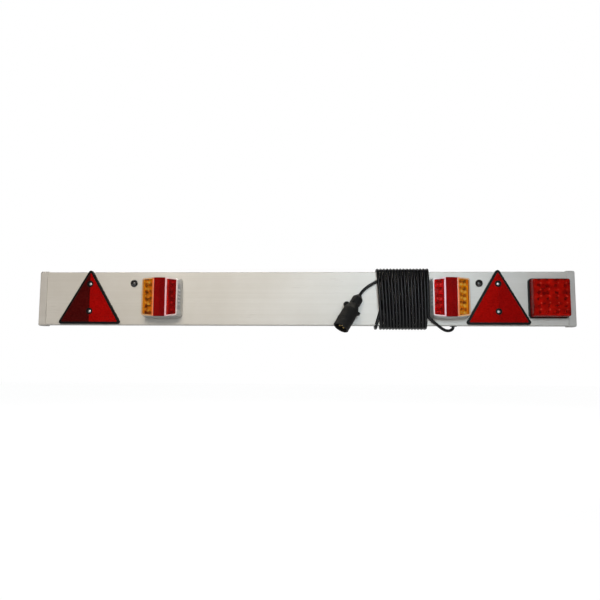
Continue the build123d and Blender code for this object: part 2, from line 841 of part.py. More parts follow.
def plug_gland():
    front_end, rear = plug_body_length, plug_length
    pocket = plug_neck_radius + gland_clearance
    body = turned([
        (pocket, front_end), (gland_foot_radius, front_end), (gland_radius, front_end + gland_foot),
        (gland_radius, rear - gland_taper), (gland_rear_radius, rear), (cable_bore, rear),
        (cable_bore, rear - gland_end), (pocket, rear - gland_end),
    ])
    return body & hex_prism(gland_flats, front_end, rear)


def plug_seal():
    return rod(plug_neck_radius, neck_end, plug_length - gland_end) - rod(
        cable_bore, neck_end, plug_length - gland_end)


def pin_places():
    return [(0.0, 0.0)] + [
        (pin_circle_radius * math.cos(turn), pin_circle_radius * math.sin(turn))
        for turn in (2 * math.pi * place / pin_count for place in range(pin_count))]


def plug_insert():
    body = rod(plug_mouth_radius - insert_clearance, insert_front, plug_mouth_depth)
    for x, y in pin_places():
        body -= rod(pin_radius + pin_clearance, insert_front, plug_mouth_depth, x, y)
    return body


def plug_pins():
    pin = rod(pin_radius, insert_front - pin_length, plug_mouth_depth)
    pin = chamfer(pin.edges().group_by(Axis.Z)[0], pin_tip_chamfer)
    return group([Pos(x, y) * pin for x, y in pin_places()])


# Every node, in the shared frame

coil_band = coil()
nodes = {
    "plank": plank(),
    "end_cap_left": end_cap(-1),
    "end_cap_right": end_cap(1),
    "mounting_bolts": group([
        on_front(mounting_bolt(), x, bolt_above_middle) for x in (left_bolt_x, right_bolt_x)]),
    "mounting_bolt_caps": group([
        on_front(mounting_bolt_cap(), x, bolt_above_middle) for x in (left_bolt_x, right_bolt_x)]),
    "mounting_flange_nuts": group([
        on_front(Rot(180, 0, 0) * flange_nut(), x, bolt_above_middle, -plank_depth)
        for x in (left_bolt_x, right_bolt_x)]),
    "reflector_screws": group([
        on_front(reflector_screw(), x, height)
        for x in (left_reflector_x, right_reflector_x) for height in screw_heights()]),
    "lamp_bolts": lamp_bolts(),
    "lamp_washers": lamp_washers(),
    "lamp_nuts": lamp_nuts(),
    "inner_wiring": wiring(),
    "cable_grommet": grommet(),
    "cable_tail": tail() - coil_band,
    "cable_coil": coil_band,
    "cable_lead": lead() - coil_band,
    "plug_shell": plug_plane * plug_shell(),
    "plug_gland_nut": plug_plane * plug_gland(),
    "plug_seal": plug_plane * plug_seal(),
    "plug_insert": plug_plane * plug_insert(),
    "plug_pins": plug_plane * plug_pins(),
}
for name, x in (("left_reflector", left_reflector_x), ("right_reflector", right_reflector_x)):
    nodes[name + "_base"] = on_front(reflector_base(), x, reflector_middle())
    nodes[name + "_lens"] = on_front(reflector_lens(), x, reflector_middle())
for piece, shape in (
    ("gasket", lamp_gasket()), ("base", lamp_base()), ("housing", lamp_housing()),
    ("amber_lens", lamp_window_lens(-1)), ("red_lens", lamp_window_lens(1)), ("reflex_band", lamp_band()),
    ("plate_window", plate_window()), ("circuit_board", lamp_board()), ("reflector_tray", lamp_tray()),
    ("diodes", lamp_diodes()),
):
    nodes["left_lamp_" + piece] = on_front(shape, left_lamp_x)
    nodes["right_lamp_" + piece] = on_front(mirror(shape, about=Plane.YZ), right_lamp_x)
for piece, shape in (
    ("base", fog_base()), ("lens", fog_lens()), ("circuit_board", fog_board()),
    ("reflector_tray", fog_tray()), ("diodes", fog_diodes()),
):
    nodes["fog_lamp_" + piece] = on_front(shape, fog_lamp_x)

os.makedirs("parts", exist_ok=True)
for name, shape in nodes.items():
    export_step(shape, "parts/" + name + ".step")
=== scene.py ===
import math

import bpy
from mathutils import Matrix, Vector


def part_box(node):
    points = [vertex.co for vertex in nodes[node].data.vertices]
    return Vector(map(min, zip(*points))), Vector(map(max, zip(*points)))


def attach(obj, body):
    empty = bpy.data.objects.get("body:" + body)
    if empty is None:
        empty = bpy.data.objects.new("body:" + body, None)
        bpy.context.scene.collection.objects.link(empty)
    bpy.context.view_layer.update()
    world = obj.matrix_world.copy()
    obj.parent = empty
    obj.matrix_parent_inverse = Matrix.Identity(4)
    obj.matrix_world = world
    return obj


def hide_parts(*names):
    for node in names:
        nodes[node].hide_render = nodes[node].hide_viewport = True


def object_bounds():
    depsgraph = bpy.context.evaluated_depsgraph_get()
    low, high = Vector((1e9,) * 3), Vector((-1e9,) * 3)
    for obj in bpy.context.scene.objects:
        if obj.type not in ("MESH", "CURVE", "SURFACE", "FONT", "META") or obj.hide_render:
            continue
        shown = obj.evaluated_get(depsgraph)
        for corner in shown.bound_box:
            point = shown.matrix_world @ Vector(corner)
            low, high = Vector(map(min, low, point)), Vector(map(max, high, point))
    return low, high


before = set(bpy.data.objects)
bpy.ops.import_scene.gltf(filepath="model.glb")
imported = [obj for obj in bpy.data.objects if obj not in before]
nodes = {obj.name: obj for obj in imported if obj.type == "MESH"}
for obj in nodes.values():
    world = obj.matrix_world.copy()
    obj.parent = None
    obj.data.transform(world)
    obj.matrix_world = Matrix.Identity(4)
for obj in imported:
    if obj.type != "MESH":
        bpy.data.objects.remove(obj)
cadBox = [list(corner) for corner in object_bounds()]
bpy.ops.object.select_all(action="DESELECT")
bpy.context.scene.view_settings.view_transform = "Standard"
print("loaded", len(nodes), "board pieces")


def cornersOf(node):
    return [Vector(corner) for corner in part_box(node)]


def middleOf(node):
    low, high = cornersOf(node)
    return (low + high) / 2


# the plank's own frame: along it, out of its front face, up from its mid-height
plankLow, plankHigh = cornersOf("plank")
plankMiddle = middleOf("plank")


def onPlank(along, out, up):
    return Vector((plankMiddle.x + along, plankLow.y - out, plankMiddle.z + up))


def tint(red, green, blue):
    steps = [value / 255 for value in (red, green, blue)]
    linear = [s / 12.92 if s <= 0.04045 else ((s + 0.055) / 1.055) ** 2.4 for s in steps]
    return (*linear, 1.0)


# camera, set from the photograph's own lines
cameraSet = {
    "position": (0.0579, -1.582, -0.2096),
    "yaw": -2.553,
    "pitch": 6.136,
    "roll": 0.304,
    "lens": 36.62,
    "sensor": 36,
}


def placeCamera():
    yaw, pitch, roll = (math.radians(cameraSet[name]) for name in ("yaw", "pitch", "roll"))
    level = math.cos(pitch)
    forward = Vector((math.sin(yaw) * level, math.cos(yaw) * level, math.sin(pitch)))
    right = Vector((math.cos(yaw), -math.sin(yaw), 0))
    up = right.cross(forward)
    side = right * math.cos(roll) + up * math.sin(roll)
    top = up * math.cos(roll) - right * math.sin(roll)
    turned = Matrix((side, top, -forward)).transposed().to_4x4()
    bpy.ops.object.camera_add()
    camera = bpy.context.object
    camera.name = "photoCamera"
    camera.data.lens = cameraSet["lens"]
    camera.data.sensor_width = cameraSet["sensor"]
    camera.matrix_world = Matrix.Translation(cameraSet["position"]) @ turned
    bpy.context.scene.camera = camera


placeCamera()
print("camera placed")


# small helpers for node trees
def fill(tree, socket, value):
    if isinstance(value, bpy.types.NodeSocket):
        tree.links.new(value, socket)
    else:
        socket.default_value = value


def addNode(tree, kind, inputs=None, **settings):
    node = tree.nodes.new("ShaderNode" + kind)
    for name, value in settings.items():
        setattr(node, name, value)
    for socket, value in (inputs or {}).items():
        fill(tree, node.inputs[socket], value)
    return node


def calc(tree, operation, first, second=0.0):
    return addNode(tree, "Math", {0: first, 1: second}, operation=operation).outputs[0]


def weigh(tree, first, second, share):
    part = calc(tree, "MULTIPLY", first, 1 - share)
    return calc(tree, "ADD", part, calc(tree, "MULTIPLY", second, share))


def mixTint(tree, factor, first, second, blend="MIX"):
    node = addNode(tree, "Mix", data_type="RGBA", blend_type=blend)
    for index, value in ((0, factor), (6, first), (7, second)):
        fill(tree, node.inputs[index], value)
    return node.outputs[2]


def spread(tree, value, low, high, toLow=0.0, toHigh=1.0):
    inputs = {0: value, 1: low, 2: high, 3: toLow, 4: toHigh}
    return addNode(tree, "MapRange", inputs).outputs[0]


def evened(tree, value, toLow=0.0, toHigh=1.0):
    return spread(tree, value, 0.3, 0.7, toLow, toHigh)  # most of a noise lies in between


def noise(tree, position, scale, detail=3.0):
    inputs = {"Vector": position, "Scale": scale, "Detail": detail}
    return addNode(tree, "TexNoise", inputs).outputs[0]


def stretched(tree, position, scale):
    return addNode(tree, "Mapping", {"Vector": position, "Scale": scale}).outputs[0]


def centredOn(tree, position, place):
    return addNode(tree, "Mapping", {"Vector": position, "Location": -place}).outputs[0]


def vectorCalc(tree, operation, first, second):
    inputs = {0: first, 1: second}
    return addNode(tree, "VectorMath", inputs, operation=operation).outputs[0]


def scaled(tree, vector, factor):
    inputs = {0: vector, "Scale": factor}
    return addNode(tree, "VectorMath", inputs, operation="SCALE").outputs[0]


def axisOf(tree, vector, axis):
    return addNode(tree, "SeparateXYZ", {0: vector}).outputs[axis]


def facingFront(tree):
    normal = addNode(tree, "NewGeometry").outputs["Normal"]
    return calc(tree, "MULTIPLY", axisOf(tree, normal, "Y"), -1)


def bump(tree, height, distance, strength=1.0):
    inputs = {"Height": height, "Distance": distance, "Strength": strength}
    return addNode(tree, "Bump", inputs).outputs[0]


def newGroup(name, inputs, outputs):
    tree = bpy.data.node_groups.new(name, "ShaderNodeTree")
    for way, sockets in (("INPUT", inputs), ("OUTPUT", outputs)):
        for label, kind in sockets:
            tree.interface.new_socket(label, in_out=way, socket_type="NodeSocket" + kind)
    given = tree.nodes.new("NodeGroupInput").outputs
    return tree, given, tree.nodes.new("NodeGroupOutput").inputs


def useGroup(tree, group, inputs):
    node = tree.nodes.new("ShaderNodeGroup")
    node.node_tree = group
    for socket, value in inputs.items():
        fill(tree, node.inputs[socket], value)
    return node.outputs


def newMaterial(name, **sockets):
    material = bpy.data.materials.new(name)
    material.use_nodes = True
    tree = material.node_tree
    skin = tree.nodes["Principled BSDF"].inputs
    for socket, value in sockets.items():
        skin[socket.replace("_", " ")].default_value = value
    return material, tree, skin, addNode(tree, "TexCoord").outputs["Object"]


# shared effects
def buildMouldedSkin():
    tree, given, out = newGroup(
        "mouldedSkin",
        [("Position", "Vector"), ("Grain", "Float"), ("Cloud", "Float")],
        [("Tone", "Float"), ("Speck", "Float"), ("Height", "Float")],
    )
    speck = noise(tree, given["Position"], given["Grain"], 2)
    pits = addNode(tree, "TexVoronoi", {"Vector": given["Position"], "Scale": given["Grain"]})
    fill(tree, out["Tone"], noise(tree, given["Position"], given["Cloud"], 4))
    fill(tree, out["Speck"], speck)
    fill(tree, out["Height"], calc(tree, "MULTIPLY", speck, pits.outputs["Distance"]))
    return tree


scuffSet = {
    "turns": (0.35, 1.9),
    "stretch": (26, 26, 900),
    "edge": (0.66, 0.72),
    "patchScale": 14,
    "patchEdge": (0.52, 0.62),
}


def buildScuffMarks():
    tree, given, out = newGroup(
        "scuffMarks", [("Position", "Vector"), ("Amount", "Float")], [("Mask", "Float")])
    marks = []
    for turn in scuffSet["turns"]:
        turned = addNode(tree, "Mapping", {
            "Vector": given["Position"], "Rotation": (0, turn, 0), "Scale": scuffSet["stretch"],
        }).outputs[0]
        marks.append(spread(tree, noise(tree, turned, 1, 1), *scuffSet["edge"]))
    near = noise(tree, given["Position"], scuffSet["patchScale"], 2)
    patch = spread(tree, near, *scuffSet["patchEdge"])
    patch = calc(tree, "MULTIPLY", calc(tree, "MAXIMUM", *marks), patch)
    fill(tree, out["Mask"], calc(tree, "MULTIPLY", patch, given["Amount"]))
    return tree


dustSet = {"slope": (0.35, 0.95), "patchScale": 60, "patchEdge": (0.3, 0.75)}


def buildDustFilm():
    tree, given, out = newGroup(
        "dustFilm", [("Position", "Vector"), ("Amount", "Float")], [("Mask", "Float")])
    rise = axisOf(tree, addNode(tree, "NewGeometry").outputs["Normal"], "Z")
    ledge = spread(tree, rise, *dustSet["slope"])
    patch = noise(tree, given["Position"], dustSet["patchScale"], 5)
    patch = calc(tree, "MULTIPLY", ledge, spread(tree, patch, *dustSet["patchEdge"]))
    fill(tree, out["Mask"], calc(tree, "MULTIPLY", patch, given["Amount"]))
    return tree


def buildPrismCells():
    tree, given, out = newGroup(
        "prismCells",
        [("Position", "Vector"), ("Cells", "Float")],
        [("Height", "Float"), ("Tone", "Float")],
    )
    sized = scaled(tree, given["Position"], given["Cells"])
    ridges, steps = [], []
    for turn in (0, 60, 120):
        way = (math.cos(math.radians(turn)), 0, math.sin(math.radians(turn)))
        along = addNode(tree, "VectorMath", {0: sized, 1: way}, operation="DOT_PRODUCT")
        ridges.append(calc(tree, "PINGPONG", along.outputs["Value"], 0.5))
        steps.append(calc(tree, "FLOOR", along.outputs["Value"]))
    height = calc(tree, "ADD", calc(tree, "ADD", ridges[0], ridges[1]), ridges[2])
    cell = addNode(tree, "CombineXYZ", dict(enumerate(steps))).outputs[0]
    fill(tree, out["Height"], height)
    fill(tree, out["Tone"], addNode(tree, "TexWhiteNoise", {"Vector": cell}).outputs["Value"])
    return tree


def buildLightSpots():
    tree, given, out = newGroup(
        "lightSpots",
        [("Position", "Vector"), ("PitchX", "Float"), ("PitchZ", "Float"),
         ("Radius", "Float"), ("Reach", "Float")],
        [("Mask", "Float")],
    )
    parts = addNode(tree, "SeparateXYZ", {0: given["Position"]}).outputs
    squares = []
    for axis, pitch in (("X", given["PitchX"]), ("Z", given["PitchZ"])):
        steps = calc(tree, "ADD", calc(tree, "DIVIDE", parts[axis], pitch), 0.5)
        off = calc(tree, "SUBTRACT", calc(tree, "FRACT", steps), 0.5)
        off = calc(tree, "MULTIPLY", off, pitch)
        squares.append(calc(tree, "MULTIPLY", off, off))
    away = calc(tree, "SQRT", calc(tree, "ADD", *squares))
    share = calc(tree, "DIVIDE", away, given["Radius"])
    spots = addNode(
        tree, "MapRange", {0: share, 1: 1.0, 2: 0.25}, interpolation_type="SMOOTHSTEP").outputs[0]
    within = calc(tree, "LESS_THAN", calc(tree, "ABSOLUTE", parts["Z"]), given["Reach"])
    fill(tree, out["Mask"], calc(tree, "MULTIPLY", spots, within))
    return tree


mouldedSkin = buildMouldedSkin()
scuffMarks = buildScuffMarks()
dustFilm = buildDustFilm()
prismCells = buildPrismCells()
lightSpots = buildLightSpots()
print("shared effects built")


def mouldedOn(tree, position, grain, cloud):
    return useGroup(tree, mouldedSkin, {"Position": position, "Grain": grain, "Cloud": cloud})


def maskOn(tree, group, position, amount):
    return useGroup(tree, group, {"Position": position, "Amount": amount})["Mask"]


def dusted(tree, rough, dust, more):
    return calc(tree, "ADD", rough, calc(tree, "MULTIPLY", dust, more))


# plank: satin extruded plastic with faint draw lines along its length
plankLook = {
    "light": tint(211, 208, 202),
    "dark": tint(200, 196, 188),
    "scuff": tint(168, 163, 154),
    "dust": tint(170, 162, 148),
    "roughness": (0.35, 0.46),
    "grain": 1400.0,
    "cloud": 7.0,
    "cloudSpan": (0.38, 0.62),
    "broadLines": (0.8, 110, 110),
    "fineLines": (1.5, 900, 900),
    "lineShare": 0.4,
    "scuffAmount": 0.35,
    "dustAmount": 0.35,
    "dustRoughness": 0.3,
    "grainHeight": 0.25,
    "bump": 0.00004,
}


def extrudedPlastic():
    look = plankLook
    material, tree, skin, position = newMaterial("extrudedPlastic")
    moulded = mouldedOn(tree, position, look["grain"], look["cloud"])
    scuff = maskOn(tree, scuffMarks, position, look["scuffAmount"])
    dust = maskOn(tree, dustFilm, position, look["dustAmount"])
    broad = noise(tree, stretched(tree, position, look["broadLines"]), 1, 3)
    fine = noise(tree, stretched(tree, position, look["fineLines"]), 1, 2)
    drawn = weigh(tree, broad, fine, look["lineShare"])
    cloud = weigh(tree, moulded["Tone"], drawn, look["lineShare"])
    colour = mixTint(tree, spread(tree, cloud, *look["cloudSpan"]), look["dark"], look["light"])
    colour = mixTint(tree, scuff, colour, look["scuff"])
    fill(tree, skin["Base Color"], mixTint(tree, dust, colour, look["dust"]))
    rough = evened(tree, drawn, *look["roughness"])
    fill(tree, skin["Roughness"], dusted(tree, rough, dust, look["dustRoughness"]))
    grain = calc(tree, "MULTIPLY", moulded["Height"], look["grainHeight"])
    fill(tree, skin["Normal"], bump(tree, calc(tree, "ADD", drawn, grain), look["bump"]))
    return material


# moulded plastics: caps, black bases, plug, grommet
mouldedLooks = {
    "capPlastic": {
        "light": tint(206, 203, 198), "dark": tint(194, 190, 184),
        "roughness": (0.37, 0.49), "shine": 0.5, "grain": 1500.0},
    "blackPlastic": {
        "light": tint(18, 17, 17), "dark": tint(11, 10, 10),
        "roughness": (0.35, 0.47), "shine": 0.08, "grain": 1800.0},
    "domePlastic": {
        "light": tint(24, 23, 24), "dark": tint(16, 16, 17),
        "roughness": (0.11, 0.23), "shine": 0.5, "grain": 600.0},
    "plugPlastic": {
        "light": tint(19, 18, 17), "dark": tint(13, 12, 11),
        "roughness": (0.53, 0.65), "shine": 0.15, "grain": 1600.0},
    "glandPlastic": {
        "light": tint(17, 16, 16), "dark": tint(11, 11, 11),
        "roughness": (0.50, 0.62), "shine": 0.15, "grain": 1700.0},
    "softRubber": {
        "light": tint(38, 37, 36), "dark": tint(27, 26, 26),
        "roughness": (0.57, 0.69), "shine": 0.3, "grain": 1100.0},
    "basePlastic": {
        "light": tint(204, 202, 197), "dark": tint(190, 188, 183),
        "roughness": (0.35, 0.47), "shine": 0.4, "grain": 1500.0},
}
mouldedWear = {
    "scuff": tint(150, 146, 140),
    "scuffShare": 0.45,
    "scuffAmount": 0.3,
    "dust": tint(150, 143, 132),
    "dustAmount": 0.3,
    "dustRoughness": 0.25,
    "cloud": 28.0,
    "cloudSpan": (0.36, 0.64),
    "speckShare": 0.3,
    "bump": 0.00005,
}


def mouldedPlastic(name):
    look, wear = mouldedLooks[name], mouldedWear
    material, tree, skin, position = newMaterial(name, Specular_IOR_Level=look["shine"])
    moulded = mouldedOn(tree, position, look["grain"], wear["cloud"])
    scuff = maskOn(tree, scuffMarks, position, wear["scuffAmount"])
    dust = maskOn(tree, dustFilm, position, wear["dustAmount"])
    tone = weigh(tree, moulded["Tone"], moulded["Speck"], wear["speckShare"])
    colour = mixTint(tree, spread(tree, tone, *wear["cloudSpan"]), look["dark"], look["light"])
    worn = mixTint(tree, wear["scuffShare"], look["light"], wear["scuff"])
    colour = mixTint(tree, scuff, colour, worn)
    fill(tree, skin["Base Color"], mixTint(tree, dust, colour, wear["dust"]))
    rough = evened(tree, moulded["Speck"], *look["roughness"])
    fill(tree, skin["Roughness"], dusted(tree, rough, dust, wear["dustRoughness"]))
    fill(tree, skin["Normal"], bump(tree, moulded["Height"], wear["bump"]))
    return material


# reflex reflectors: small prisms under a smooth clear front, each half its own red as painted
# shade: one half darker where its prisms would send less light back, and each copy lit or shaded
# differently
reflexLooks = {
    "leftReflectorRed": {
        "node": "left_reflector_lens", "cells": 420.0,
        "left": tint(72, 4, 3), "right": tint(164, 4, 2)},
    "rightReflectorRed": {
        "node": "right_reflector_lens", "cells": 420.0,
        "left": tint(166, 6, 2), "right": tint(152, 4, 2)},
    "leftBandRed": {
        "node": "left_lamp_reflex_band", "cells": 620.0,
        "left": tint(138, 6, 6), "right": tint(126, 4, 6)},
    "rightBandRed": {
        "node": "right_lamp_reflex_band", "cells": 620.0,
        "left": tint(140, 8, 6), "right": tint(134, 5, 6)},
}
reflexFinish = {
    "seam": 0.0006,
    "paintedGlint": (0.72, 1.25),
    "cloud": 22,
    "shade": (0.86, 1.1),
    "roughness": (0.22, 0.42),
    "prismHeight": 0.0012,
    "prismStrength": 0.55,
}


def reflexRed(name):
    look, finish = reflexLooks[name], reflexFinish
    material, tree, skin, position = newMaterial(
        name, Coat_Weight=0.05, Coat_Roughness=0.06, Specular_IOR_Level=0.03)
    centred = centredOn(tree, position, middleOf(look["node"]))
    cells = useGroup(tree, prismCells, {"Position": centred, "Cells": look["cells"]})
    # painted shade: the halves get different reds although their prisms are alike
    side = spread(tree, axisOf(tree, centred, "X"), -finish["seam"], finish["seam"])
    colour = mixTint(tree, side, look["left"], look["right"])
    # painted glints: each prism cell is made lighter or darker at random
    paintedGlint = spread(tree, cells["Tone"], 0, 1, *finish["paintedGlint"])
    colour = mixTint(tree, 1.0, colour, paintedGlint, "MULTIPLY")
    shade = evened(tree, noise(tree, position, finish["cloud"], 4), *finish["shade"])
    fill(tree, skin["Base Color"], mixTint(tree, 1.0, colour, shade, "MULTIPLY"))
    fill(tree, skin["Roughness"], spread(tree, cells["Tone"], 0, 1, *finish["roughness"]))
    prisms = bump(tree, cells["Height"], finish["prismHeight"], finish["prismStrength"])
    fill(tree, skin["Normal"], prisms)
    return material


# see-through lamp windows, with painted highlights (bright spots standing in for the reflections
# in the cups behind) and painted shade (dark spots between them)
# a spot or shade is across, up and radius; a wall is the side it is on and its width
lampWindow = {
    "roughness": (0.05, 0.10), "ior": 1.34,
    "pitch": (0.060, 0.01724), "reach": 0.1, "warp": 0.0080,
}
plateWindow = {
    "light": (0.44, 0.46, 0.48, 1), "dark": (0.36, 0.38, 0.40, 1), "glow": (0.96, 0.97, 0.98, 1),
    "roughness": (0.42, 0.47), "clear": 0.15, "ior": 1.45,
    "pitch": (0.060, 0.0090), "reach": 0.0225, "warp": 0.0,
    "spots": [(0.0, 0.0, 0.0042)], "paintedShades": [], "walls": [],
}
# the left lamp's windows are darker copies of the right lamp's: painted shade
glassLooks = {
    "leftAmber": {
        **lampWindow, "node": "left_lamp_amber_lens", "clear": 0.66,
        "light": (1.0, 0.340, 0.004, 1), "dark": (0.56, 0.130, 0.002, 1),
        "glow": (1.0, 0.68, 0.100, 1), "shade": (0.10, 0.018, 0.001, 1),
        "wall": (1.0, 0.42, 0.018, 1), "walls": [(-1, 0.0058)],
        "spots": [(0.0026, 0.0012, 0.0054), (-0.0050, 0.0020, 0.0034)],
        "paintedShades": [(-0.0026, -0.0062, 0.0074), (0.0066, -0.0040, 0.0056)]},
    "rightAmber": {
        **lampWindow, "node": "right_lamp_amber_lens", "clear": 0.66,
        "light": (1.0, 0.410, 0.005, 1), "dark": (0.76, 0.200, 0.003, 1),
        "glow": (1.0, 0.72, 0.110, 1), "shade": (0.20, 0.042, 0.001, 1),
        "wall": (0.74, 0.21, 0.007, 1), "walls": [(1, 0.0042)],
        "spots": [(0.0020, -0.0046, 0.0054), (-0.0066, -0.0036, 0.0042)],
        "paintedShades": [(0.0006, 0.0034, 0.0070), (-0.0080, 0.0044, 0.0046)]},
    "leftRed": {
        **lampWindow, "node": "left_lamp_red_lens", "clear": 0.74,
        "light": (0.56, 0.004, 0.003, 1), "dark": (0.32, 0.002, 0.002, 1),
        "glow": (0.74, 0.022, 0.022, 1), "shade": (0.24, 0.003, 0.002, 1),
        "wall": (0.98, 0.055, 0.032, 1), "walls": [(-1, 0.0052)],
        "spots": [(0.0012, 0.0020, 0.0040)],
        "paintedShades": [(0.0, -0.0050, 0.0074)]},
    "rightRed": {
        **lampWindow, "node": "right_lamp_red_lens", "clear": 0.74, "ior": 1.25,
        "light": (0.76, 0.005, 0.004, 1), "dark": (0.48, 0.003, 0.002, 1),
        "glow": (1.0, 0.050, 0.045, 1), "shade": (0.30, 0.003, 0.002, 1),
        "wall": (0.80, 0.012, 0.010, 1), "walls": [(-1, 0.0030)],
        "spots": [(0.0036, -0.0042, 0.0050), (-0.0056, -0.0036, 0.0040)],
        "paintedShades": [(0.0040, 0.0044, 0.0058), (-0.0040, 0.0044, 0.0050)]},
    "fogRed": {
        "node": "fog_lamp_lens", "clear": 0.62, "ior": 1.16, "roughness": (0.06, 0.11),
        "light": (0.78, 0.018, 0.006, 1), "dark": (0.34, 0.003, 0.002, 1),
        "glow": (1.0, 0.12, 0.070, 1), "shade": (0.24, 0.003, 0.002, 1),
        "pitch": (0.0212, 0.01648), "reach": 0.1, "warp": 0.0070, "walls": [],
        "spots": [(0.0148, 0.0026, 0.0034)],
        "paintedShades": [(0.0104, -0.0044, 0.0066)]},
    "leftPlate": {**plateWindow, "node": "left_lamp_plate_window"},
    "rightPlate": {**plateWindow, "node": "right_lamp_plate_window"},
}
windowFinish = {
    "grain": 500.0,
    "cloud": 60.0,
    "unevenScale": 130,
    "unevenSpan": (0.36, 0.62),
    "unevenLeast": 0.25,
    "wanderScale": 95.0,
    "wallEdge": 0.0014,
    "waveHeight": 0.0003,
    "waveStrength": 0.3,
}


def wandered(tree, position, reach):
    inputs = {"Vector": position, "Scale": windowFinish["wanderScale"], "Detail": 2.0}
    shift = addNode(tree, "TexNoise", inputs).outputs["Color"]
    shift = vectorCalc(tree, "SUBTRACT", shift, (0.5, 0.5, 0.5))
    return vectorCalc(tree, "ADD", position, scaled(tree, shift, reach))


def windowPlastic(name):
    look, finish = glassLooks[name], windowFinish
    material, tree, skin, position = newMaterial(
        name, Transmission_Weight=look["clear"], IOR=look["ior"])
    moulded = mouldedOn(tree, position, finish["grain"], finish["cloud"])
    colour = mixTint(tree, evened(tree, moulded["Tone"]), look["dark"], look["light"])
    uneven = noise(tree, position, finish["unevenScale"], 2)
    uneven = spread(tree, uneven, *finish["unevenSpan"], finish["unevenLeast"], 1.0)
    # the painted reflections of the cups wander, so the spots are not all alike
    warped = wandered(tree, position, look["warp"])
    middle = middleOf(look["node"])
    # painted shade spots first, then painted highlight spots
    for key, places in (("shade", look["paintedShades"]), ("glow", look["spots"])):
        for across, up, radius in places:
            mask = useGroup(tree, lightSpots, {
                "Position": centredOn(tree, warped, middle + Vector((across, 0, up))),
                "PitchX": look["pitch"][0], "PitchZ": look["pitch"][1],
                "Radius": radius, "Reach": look["reach"]})["Mask"]
            colour = mixTint(tree, calc(tree, "MULTIPLY", mask, uneven), colour, look[key])
    # painted light and shade: a strip along one side, lighter or darker, standing in for the
    # lens's own side wall seen through its front
    low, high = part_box(look["node"])
    for side, width in look["walls"]:
        inner = (high[0] - low[0]) / 2 - width
        ends = [middle.x + side * reach for reach in (inner, inner + finish["wallEdge"])]
        share = spread(tree, axisOf(tree, position, "X"), *ends)
        colour = mixTint(tree, share, colour, look["wall"])
    fill(tree, skin["Base Color"], colour)
    fill(tree, skin["Roughness"], evened(tree, moulded["Speck"], *look["roughness"]))
    waves = bump(tree, moulded["Tone"], finish["waveHeight"], finish["waveStrength"])
    fill(tree, skin["Normal"], waves)
    return material


# lamp housing: pale clear-edged plastic whose front is painted with the coloured light of the
# window beside it, and a painted pink-white highlight on the divider by the red window
housingLook = {
    "wall": tint(208, 208, 206),
    "wallDark": tint(192, 192, 190),
    # along the front, from the amber window's side to the red one's
    "stops": [
        (0.00, tint(198, 168, 134)), (0.30, tint(214, 156, 98)), (0.315, tint(242, 132, 72)),
        (0.365, tint(242, 126, 66)), (0.635, tint(255, 190, 202)), (0.685, tint(252, 200, 210)),
        (0.74, tint(222, 190, 190)), (1.00, tint(218, 204, 202)),
    ],
    "reach": 0.05,
    "frontSpan": (0.35, 0.85),
    "roughness": (0.2, 0.3),
    "grain": 900.0,
    "cloud": 30.0,
    "bump": 0.00004,
}


def housingPlastic(side):
    look = housingLook
    material, tree, skin, position = newMaterial(
        side + "HousingPlastic", Coat_Weight=0.5, Coat_Roughness=0.08)
    moulded = mouldedOn(tree, position, look["grain"], look["cloud"])
    centre = middleOf(side + "_lamp_reflex_band").x
    reach = look["reach"] if side == "left" else -look["reach"]
    # painted light: the front's colour runs across the lamp, from the amber window's light to the
    # red one's
    share = spread(tree, axisOf(tree, position, "X"), centre - reach, centre + reach)
    ramp = addNode(tree, "ValToRGB", {0: share})
    elements = ramp.color_ramp.elements
    while len(elements) < len(look["stops"]):
        elements.new(0.5)
    for element, (place, colour) in zip(elements, look["stops"]):
        element.position = place
        element.color = colour
    wall = mixTint(tree, evened(tree, moulded["Tone"]), look["wallDark"], look["wall"])
    front = spread(tree, facingFront(tree), *look["frontSpan"])
    fill(tree, skin["Base Color"], mixTint(tree, front, wall, ramp.outputs[0]))
    fill(tree, skin["Roughness"], evened(tree, moulded["Speck"], *look["roughness"]))
    fill(tree, skin["Normal"], bump(tree, moulded["Height"], look["bump"]))
    return material


# metals
metalLooks = {
    "zincSteel": {
        "light": (0.60, 0.60, 0.60, 1), "dark": (0.46, 0.46, 0.47, 1), "roughness": (0.27, 0.40)},
    "screwSteel": {
        "light": (0.47, 0.48, 0.49, 1), "dark": (0.35, 0.36, 0.37, 1), "roughness": (0.29, 0.42)},
    "brass": {
        "light": (0.60, 0.43, 0.17, 1), "dark": (0.42, 0.28, 0.10, 1), "roughness": (0.21, 0.34)},
    "chromeTray": {
        "light": (0.95, 0.95, 0.95, 1), "dark": (0.90, 0.90, 0.90, 1), "roughness": (0.21, 0.34)},
}
metalFinish = {
    "grain": 2600.0,
    "cloud": 160.0,
    "cloudSpan": (0.32, 0.68),
    "scuffAmount": 0.5,
    "bump": 0.00002,
}


def platedMetal(name):
    look, finish = metalLooks[name], metalFinish
    material, tree, skin, position = newMaterial(name, Metallic=1.0)
    moulded = mouldedOn(tree, position, finish["grain"], finish["cloud"])
    scuff = maskOn(tree, scuffMarks, position, finish["scuffAmount"])
    cloud = spread(tree, moulded["Tone"], *finish["cloudSpan"])
    colour = mixTint(tree, cloud, look["dark"], look["light"])
    fill(tree, skin["Base Color"], mixTint(tree, scuff, colour, look["dark"]))
    fill(tree, skin["Roughness"], evened(tree, moulded["Speck"], *look["roughness"]))
    fill(tree, skin["Normal"], bump(tree, moulded["Height"], finish["bump"]))
    return material


# cable jacket
jacketLook = {
    "light": tint(9, 9, 11),
    "dark": tint(6, 6, 7),
    "dust": tint(120, 114, 104),
    "dustAmount": 0.06,
    "dustRoughness": 0.3,
    "roughness": (0.31, 0.44),
    "grain": 1900.0,
    "cloud": 55.0,
    "bump": 0.000003,
}


